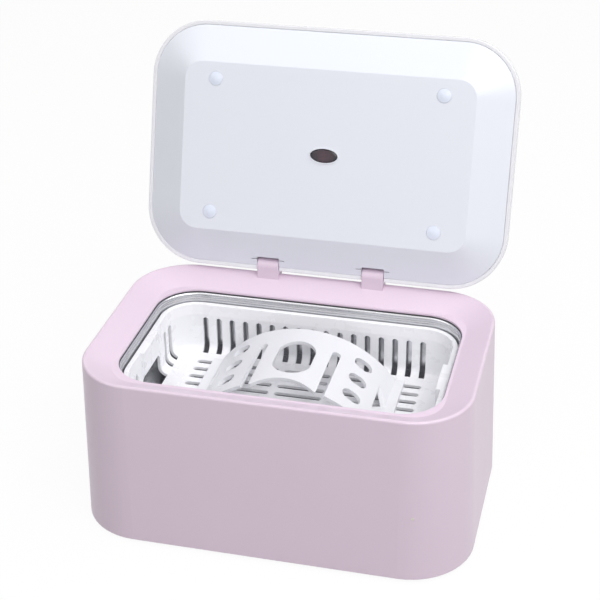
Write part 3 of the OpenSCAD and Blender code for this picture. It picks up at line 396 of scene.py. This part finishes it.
# %% Outlines and rows
def outline(width, depth, radius, steps=12):
    """Point = corner centre + radius * (cos a, sin a), where a runs a quarter turn per corner."""
    angle = np.arange(4)[:, None] * np.pi / 2 + np.linspace(0, np.pi / 2, steps)[None, :]
    outward = np.stack([np.cos(angle), np.sin(angle)], axis=-1)
    signs = np.array([[1, 1], [-1, 1], [-1, -1], [1, -1]])[:, None, :]
    centre = signs * np.array([width / 2 - radius, depth / 2 - radius])
    return (centre + radius * outward).reshape(-1, 2), outward.reshape(-1, 2)


def climb(path, profile):
    """Row j is the outline moved outward by profile[j, 0], at the height profile[j, 1]."""
    point, outward = path
    profile = np.asarray(profile, float)
    flat = point[None, :, :] + outward[None, :, :] * profile[:, None, :1]
    height = np.broadcast_to(profile[:, None, 1:2], flat.shape[:2] + (1,))
    return np.concatenate([flat, height], axis=-1)


def arc(centre, radius, start, end, steps=8):
    """Points on a circle: centre + radius * (cos a, sin a), with a from start to end degrees."""
    angle = np.radians(np.linspace(start, end, steps))
    return np.array(centre) + radius * np.stack([np.cos(angle), np.sin(angle)], axis=-1)


print("points round an outline:", len(outline(160, 90, 17)[0]))

# %% [markdown]
# A mesh needs its faces as numbers of corners. On a grid they follow from the row and the column,
# so numpy makes them all at once. The first and the last row are closed by a fan to their middle,
# or joined to each other where the profile is a loop.


# %% From rows to a piece
MERGE_MM, SHARP_DEGREES = 0.0005, 40


def build(name, stacks, body, slot, replaces, ends="fan"):
    """Each stack is (rows, columns, xyz) in mm.

    A face joins (i, j), (i, j+1), (i+1, j+1) and (i+1, j), where i is a row and j a column.
    """
    points, faces, start = [], [], 0
    for rows in stacks:
        count, across = rows.shape[:2]
        points.append(rows.reshape(-1, 3))
        i = np.arange(count if ends == "loop" else count - 1)[:, None]
        j = np.arange(across)[None, :]
        up_row, next_column = (i + 1) % count, (j + 1) % across
        quads = np.stack([
            i * across + j, i * across + next_column,
            up_row * across + next_column, up_row * across + j], axis=-1)
        faces += (quads.reshape(-1, 4) + start).tolist()
        start += count * across
        if ends == "fan":
            points.append(rows[[0, -1]].mean(axis=1))
            first = start - count * across + np.arange(across)
            last = start - across + np.arange(across)
            hubs = np.full(across, start), np.full(across, start + 1)
            faces += np.stack([np.roll(first, -1), first, hubs[0]], axis=-1).tolist()
            faces += np.stack([last, np.roll(last, -1), hubs[1]], axis=-1).tolist()
            start += 2
    mesh = bpy.data.meshes.new(name)
    mesh.from_pydata((np.concatenate(points) * MM).tolist(), [], faces)
    shape = bmesh.new()
    shape.from_mesh(mesh)
    bmesh.ops.remove_doubles(shape, verts=shape.verts, dist=MERGE_MM * MM)
    bmesh.ops.recalc_face_normals(shape, faces=shape.faces)
    shape.to_mesh(mesh)
    shape.free()
    mesh.shade_smooth()
    mesh.set_sharp_from_angle(angle=math.radians(SHARP_DEGREES))
    piece = bpy.data.objects.new(name, mesh)
    bpy.context.scene.collection.objects.link(piece)
    piece.data.materials.append(finishes[slot])
    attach(piece, body)
    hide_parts(*replaces)
    print(name, "faces:", len(mesh.polygons))


low, high = box_mm("tank")
middle_y = (low[1] + high[1]) / 2


def at_corners(rows, x, y, z):
    """Four copies of the rows, moved by x and y to either side of the middle, at height z."""
    return [
        rows + np.array([sx * x, middle_y + sy * y, z])
        for sx in (-1, 1) for sy in (-1, 1)
    ]


# %% [markdown]
# ## The drawn tank
# The tank is pressed from one sheet, so it has no sharp edge: the flange rolls over a bend into the
# wall, a shallow groove runs round under the bend, and a fillet turns the wall into the floor.
# A profile carried round the rounded outline gives all of it, inside and outside, in one surface.

# %% Make the tank
FLANGE, WALL, BEND, FILLET, CORNER = 5.2, 0.8, 1.2, 5.0, 20.2
BEND_UNDER, LAST_CORNER = 0.4, 5.0  # the bend's outer radius, and the radius where the fans begin
GROOVE_TOP, GROOVE_HEIGHT, GROOVE_DEPTH = 1.9, 1.6, 0.3
OUTER_ROW, UPPER_ROW, LOWER_ROW = 3.0, 6.0, 8.0  # extra rows that keep the walls' faces even
FINE = 16  # points round each corner
tank_size = high - low - 2 * np.array([FLANGE, FLANGE, 0])
top, floor = high[2], low[2] + WALL
down = np.linspace(0, GROOVE_HEIGHT, 7)
groove = np.stack([
    GROOVE_DEPTH * np.sin(down * np.pi / GROOVE_HEIGHT) ** 2, top - GROOVE_TOP - down], axis=-1)
profile = np.concatenate([
    [[LAST_CORNER - CORNER, floor - WALL]],
    arc((-FILLET, floor + FILLET), FILLET + WALL, -90, 0, 10),
    [[WALL, top - WALL - OUTER_ROW]],
    arc((WALL + BEND_UNDER, top - WALL - BEND_UNDER), BEND_UNDER, 180, 90, 4),
    [[FLANGE, top - WALL], [FLANGE, top]],
    arc((BEND, top - BEND), BEND, 90, 180, 10),
    groove,
    [[0, top - UPPER_ROW], [0, floor + FILLET + LOWER_ROW]],
    arc((-FILLET, floor + FILLET), FILLET, 0, -90, 10),
    [[LAST_CORNER - CORNER, floor]],
])
rows = climb(outline(tank_size[0], tank_size[1], CORNER, FINE), profile)
rows[..., 1] += middle_y
build("drawn_tank", [rows], "body", "tank_steel", ["tank"])

# %% [markdown]
# ## The silicone seal
# A strip lies between the flange and the deck. Only its rounded edge looks out, as a dark line. The line is partly
# the strip's own dark grey silicone and partly painted shade: the strip's dark colour also stands for the shade in
# the gap under the deck's lip.

# %% Make the seal
SEAL_CORNER, SEAL_WIDTH, SEAL_PULL = 25.4, 4.1, 0.1  # pull: kept back from the solid's outside
low, high = box_mm("tank_seal")
path = outline(high[0] - low[0], high[1] - low[1], SEAL_CORNER, FINE)
seal = np.concatenate([
    arc((-SEAL_WIDTH, (low[2] + high[2]) / 2), (high[2] - low[2]) / 2, 90, 270, 7),
    [[-SEAL_PULL, low[2]], [-SEAL_PULL, high[2]]],
])
rows = climb(path, seal)
rows[..., 1] += middle_y
build("seal_strip", [rows], "body", "seal_rubber", ["tank_seal"], ends="loop")

# %% [markdown]
# ## Pieces on the open lid
# The caps and the window are easiest to draw on the closed lid, where they face down. A turn
# about the hinge's pin then lays them on the open one. The pin's place comes from the record.

# %% Turn from the closed to the open lid
hinge = next(joint for joint in frame["joints"] if joint["name"] == "lid_hinge")
pin = np.array(hinge["pos_m"]) / MM
OPEN = math.radians(-hinge["range_deg"][0])


def on_open_lid(rows):
    """Turned about the pin by the opening angle a: y becomes y cos a + z sin a, z becomes
    z cos a - y sin a, both measured from the pin.
    """
    y, z = rows[..., 1] - pin[1], rows[..., 2] - pin[2]
    turned = rows.copy()
    turned[..., 1] = pin[1] + y * math.cos(OPEN) + z * math.sin(OPEN)
    turned[..., 2] = pin[2] + z * math.cos(OPEN) - y * math.sin(OPEN)
    return turned


print("pin in mm:", pin, "opening:", hinge["range_deg"])

# %% [markdown]
# ## Screw caps
# Each cap is a shallow dome pressed into a cup. The profile goes up its side, round the shoulder
# and over the crown, so that a fine shadow lies where it meets the liner.

# %% Make the screw caps
PLATEAU, CAP_X, CAP_Y, CAP_SHIFT, CAP_R = 86.6, 62.1, 36.2, -0.5, 3.8
# PLATEAU is the height of the liner's middle with the lid closed, and each HUB is the radius
# that a fan closes, here and below
CAP_DEEP, CAP_CHAMFER, CAP_EDGE, CAP_START, CAP_HUB = 2.1, 0.3, 0.35, 0.05, 0.4
CROWN_IN, CROWN_BASE, CROWN_RISE, CROWN_HUB = 0.75, 0.25, 0.5, 0.3
cap_side = [
    [CAP_HUB - CAP_R, CAP_DEEP], [-CAP_EDGE, CAP_DEEP], [0, CAP_DEEP - CAP_CHAMFER], [0, 0.1]]
shoulder = arc((-CAP_EDGE, CAP_START), CAP_EDGE, 0, -70, 4)
crown_r = np.linspace(CAP_R - CROWN_IN, CROWN_HUB, 7)
crown = np.stack([
    crown_r - CAP_R,
    -CROWN_BASE - CROWN_RISE * (1 - (crown_r / (CAP_R - CROWN_IN)) ** 2)], axis=-1)
cap = climb(outline(2 * CAP_R, 2 * CAP_R, CAP_R, 10), np.concatenate([cap_side, shoulder, crown]))
cap[..., 1] += CAP_SHIFT
caps = [on_open_lid(rows) for rows in at_corners(cap, CAP_X, CAP_Y, PLATEAU)]
build("domed_screw_caps", caps, "lid", "cap_plastic", ["screw_caps"])

# %% [markdown]
# ## The window's pane
# The pane is an oval with a crowned face, so it catches a small highlight of its own. Its outline
# is the one true ellipse here, so it has a path of its own.


# %% Make the pane
def ellipse(width, depth, steps=48):
    """Point = (width / 2 cos a, depth / 2 sin a), outward along (depth cos a, width sin a)."""
    angle = np.arange(steps) * 2 * np.pi / steps
    turn = np.stack([np.cos(angle), np.sin(angle)], axis=-1)
    outward = turn * np.array([depth, width])
    outward /= np.linalg.norm(outward, axis=-1, keepdims=True)
    return turn * np.array([width, depth]) / 2, outward


PANE_W, PANE_H, PANE_LIP, PANE_T = 17.6, 10.0, 0.8, 1.8
PANE_RIM, PANE_CROWN, PANE_HUB, PANE_RISE = 1.2, 1.25, 2.7, 0.5
crown = np.stack([
    -np.linspace(PANE_CROWN, PANE_HUB, 7),
    PANE_LIP - PANE_RISE * np.sin(np.linspace(0, np.pi / 2, 7))], axis=-1)
pane = np.concatenate([
    [[-PANE_HUB, PANE_LIP + PANE_T], [0, PANE_LIP + PANE_T], [0, PANE_LIP], [-PANE_RIM, PANE_LIP]],
    crown,
])
rows = climb(ellipse(PANE_W, PANE_H), pane)
rows += np.array([0, middle_y, PLATEAU])
build("window_pane", [on_open_lid(rows)], "lid", "window_quartz", ["window_lens"])

# %% [markdown]
# ## Push buttons
# A fingertip finds a button by its dished face. Each is a disc with a rounded rim and a hollow.

# %% Make the push buttons
COLLAR, COLLAR_T, BUTTON_EDGE, BUTTON_HUB = 1.2, 1.2, 0.6, 0.6
DISH_IN, DISH_STEP, DISH_DEEP, DISH_HUB = 1.0, 0.05, 0.45, 0.4
for name in ("power_button", "mode_button"):
    low, high = box_mm(name)
    centre = (low + high) / 2
    flange_r, length = (high[2] - low[2]) / 2, high[0] - low[0]
    face_r = flange_r - COLLAR
    dish_r = np.linspace(face_r - DISH_IN, DISH_HUB, 8)
    dish = np.stack([
        dish_r - flange_r,
        length - DISH_STEP - DISH_DEEP * (1 - (dish_r / (face_r - DISH_IN)) ** 2)], axis=-1)
    button = np.concatenate([
        [[BUTTON_HUB - flange_r, 0], [0, 0], [0, COLLAR_T], [-COLLAR, COLLAR_T]],
        arc((-COLLAR - BUTTON_EDGE, length - BUTTON_EDGE), BUTTON_EDGE, 0, 90, 5),
        dish,
    ])
    rows = climb(outline(2 * flange_r, 2 * flange_r, flange_r, 12), button)
    # the face looks to -X: local z becomes -x, and the outline lies in the plane of y and z
    rows = np.stack([
        high[0] - rows[..., 2], centre[1] + rows[..., 0], centre[2] + rows[..., 1]], axis=-1)
    build("dished_" + name, [rows], name, "button_plastic", [name])

# %% [markdown]
# ## Feet and screws underneath
# Four rubber feet have a rounded rim and a shallow cup that grips the table. The screws that
# close the base have cross recesses: the head's height drops where a point lies near either axis.

# %% Make the feet
FOOT_R, FOOT_TALL, FOOT_EDGE, FOOT_HUB = 6.0, 2.0, 0.6, 0.3
STEM_R, STEM_CHAMFER, CUP_DEEP = 2.0, 0.3, 0.35
low, high = box_mm("rubber_feet")
foot_x, foot_y = (high[:2] - low[:2]) / 2 - FOOT_R
# from the cup's roof down to the ring the foot stands on, then round its rim and up its stem
cup = [[FOOT_HUB - FOOT_R, CUP_DEEP], [-2.2, CUP_DEEP], [-1.6, 0.12], [-1.2, 0]]
stem = [
    [0, FOOT_TALL], [STEM_R - FOOT_R, FOOT_TALL], [STEM_R - FOOT_R, high[2] - STEM_CHAMFER],
    [FOOT_HUB - FOOT_R, high[2]]]
foot = np.concatenate([cup, arc((-FOOT_EDGE, FOOT_EDGE), FOOT_EDGE, -90, 0, 5), stem])
rows = climb(outline(2 * FOOT_R, 2 * FOOT_R, FOOT_R, 10), foot)
feet = at_corners(rows, foot_x, foot_y, 0)
build("cupped_feet", feet, "body", "foot_rubber", ["rubber_feet"])

# %% Make the base screws
HEAD_R, SHANK_R, HEAD_H, HEAD_EDGE = 2.8, 1.5, 1.8, 0.4
DOME_RISE, DOME_TOP, HEAD_HUB = 0.35, 0.36, 0.12
CROSS_HALF, CROSS_REACH, CROSS_DEEP, CROSS_RINGS = 0.36, 1.7, 1.1, 16
SIDE_SOFT, END_SOFT = 0.06, 0.08  # how far the recess takes to fade at its sides and ends
low, high = box_mm("base_screws")
screw_x, screw_y = (high[:2] - low[:2]) / 2 - HEAD_R


def cross_head(path):
    """Height = dome + depth * s(min(|x|, |y|) - half width) * s(radius - reach), all in mm.

    s(t) = 1 / (1 + e to the t / softness): nearly 1 inside the recess and nearly 0 outside it.
    """
    radius = np.linspace(HEAD_R - HEAD_EDGE, HEAD_HUB, CROSS_RINGS)
    rows = climb(path, np.stack([radius - HEAD_R, np.zeros(CROSS_RINGS)], axis=-1))
    near = np.minimum(np.abs(rows[..., 0]), np.abs(rows[..., 1]))
    out = np.hypot(rows[..., 0], rows[..., 1])
    inside = 1 / (1 + np.exp((near - CROSS_HALF) / SIDE_SOFT))
    inside /= 1 + np.exp((out - CROSS_REACH) / END_SOFT)
    rows[..., 2] = DOME_TOP - DOME_RISE * (1 - (out / HEAD_R) ** 2) + CROSS_DEEP * inside
    return rows


tip, shank = high[2] - low[2], SHANK_R - HEAD_R
screw_path = outline(2 * HEAD_R, 2 * HEAD_R, HEAD_R, 24)
side = climb(screw_path, [
    [0.1 - HEAD_R, tip], [shank - 0.5, tip], [shank, tip - 1.2],  # the blunt point
    [shank, HEAD_H], [0, HEAD_H], [0, 0.5], [-0.12, 0.2]])  # the head's underside and edge
rows = np.concatenate([side, cross_head(screw_path)])
screws = at_corners(rows, screw_x, screw_y, low[2])
build("cross_head_screws", screws, "body", "zinc_steel", ["base_screws"])

# %% [markdown]
# ## Floor, background and lamps
# The photograph is cut out on white. The floor and the world show white only to the camera and in
# reflections, while the light on the object stays at a plain level and the floor keeps its shadow.

# %% Make the floor and the world
FLOOR_HALF, FLOOR_Z = 3, -0.0002  # metres
PAPER_WHITE, ROOM_LIGHT = 0.94, 0.33


def seen_rays(tree):
    """1 for a camera, glossy or transmission ray, which sees white, and 0 for a ray of light."""
    rays = add(tree, "ShaderNodeLightPath")
    seen = rays.outputs["Is Camera Ray"]
    for kind in ("Is Glossy Ray", "Is Transmission Ray"):
        either = add(tree, "ShaderNodeMath", {0: seen, 1: rays.outputs[kind]}, operation="MAXIMUM")
        seen = either.outputs[0]
    return seen


corners = FLOOR_HALF * np.array([[-1, -1], [1, -1], [1, 1], [-1, 1]])
floor_mesh = bpy.data.meshes.new("floor")
floor_mesh.from_pydata(
    np.column_stack([corners, np.full(4, FLOOR_Z)]).tolist(), [], [[0, 1, 2, 3]])
floor = bpy.data.objects.new("floor", floor_mesh)
bpy.context.scene.collection.objects.link(floor)
material, tree, place = new_material("pale_paper")
fibres = add(tree, "ShaderNodeTexNoise", {"Vector": place, "Scale": 30.0})
grey = add(tree, "ShaderNodeMix", {
    0: fibres.outputs["Fac"], 6: linear("B4B4B4"), 7: linear("B0B0B0")}, data_type="RGBA")
white = add(tree, "ShaderNodeEmission", {"Color": (1, 1, 1, 1), "Strength": 1.0})
seen = seen_rays(tree)
tint = add(tree, "ShaderNodeMix", {
    0: seen, 6: grey.outputs[2], 7: linear("FFFFFF")}, data_type="RGBA")
paper = add(tree, "ShaderNodeBsdfDiffuse", {"Color": tint.outputs[2]})
share = add(tree, "ShaderNodeMath", {0: seen, 1: PAPER_WHITE}, operation="MULTIPLY")
mix = add(tree, "ShaderNodeMixShader", {
    0: share.outputs[0], 1: paper.outputs[0], 2: white.outputs[0]})
add(tree, "ShaderNodeOutputMaterial", {"Surface": mix.outputs[0]})
floor.data.materials.append(material)
floor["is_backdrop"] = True

world = bpy.data.worlds.new("studio")
world.use_nodes = True
bpy.context.scene.world = world
tree = world.node_tree
tree.nodes.clear()
soft = add(tree, "ShaderNodeBackground", {"Color": (1, 1, 1, 1), "Strength": ROOM_LIGHT})
white = add(tree, "ShaderNodeBackground", {"Color": (1, 1, 1, 1), "Strength": 1.0})
mix = add(tree, "ShaderNodeMixShader", {
    0: seen_rays(tree), 1: soft.outputs[0], 2: white.outputs[0]})
add(tree, "ShaderNodeOutputWorld", {"Surface": mix.outputs[0]})
print("floor and world ready")

# %% [markdown]
# Three soft boxes light the case: the key above and to the right, a fill from the front, and a
# weaker one from the upper left that keeps the right-hand slope of the deck from going grey.


# %% Place the lamps
AIM = np.array([0, 0, 0.08])  # metres, about the middle of the body


def soft_box(name, position, size, watts):
    """A square area lamp whose -Z points from its position to the aim. Lengths in metres."""
    lamp = bpy.data.lights.new(name, "AREA")
    lamp.shape, lamp.size, lamp.energy = "SQUARE", size, watts
    stand = bpy.data.objects.new(name, lamp)
    away = np.array(position) - AIM
    away = away / np.linalg.norm(away)
    side = np.cross([0, 0, 1], away)
    side = side / np.linalg.norm(side)
    turn = np.eye(4)
    turn[:3, :3] = np.column_stack([side, np.cross(away, side), away])
    turn[:3, 3] = position
    stand.matrix_world = Matrix(turn.tolist())
    bpy.context.scene.collection.objects.link(stand)


soft_box("key", (0.675, -0.07, 1.24), 1.0, 6.9)
soft_box("fill", (0.52, -0.78, 0.98), 0.9, 7.7)
soft_box("side", (-0.66, -0.38, 1.2), 1.0, 3.2)
bpy.context.scene.view_settings.view_transform = "Standard"

# %% [markdown]
# ## Measure and finish
# The dressed model is meant to stay inside the box of the solids, so the difference between the two boxes is
# printed.

# %% Measure the sizes
visual_box = [[float(x) for x in corner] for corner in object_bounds()]
grown = np.array(visual_box) / MM - np.array(cad_box) / MM
print("difference in mm:", np.round(grown, 2).tolist())
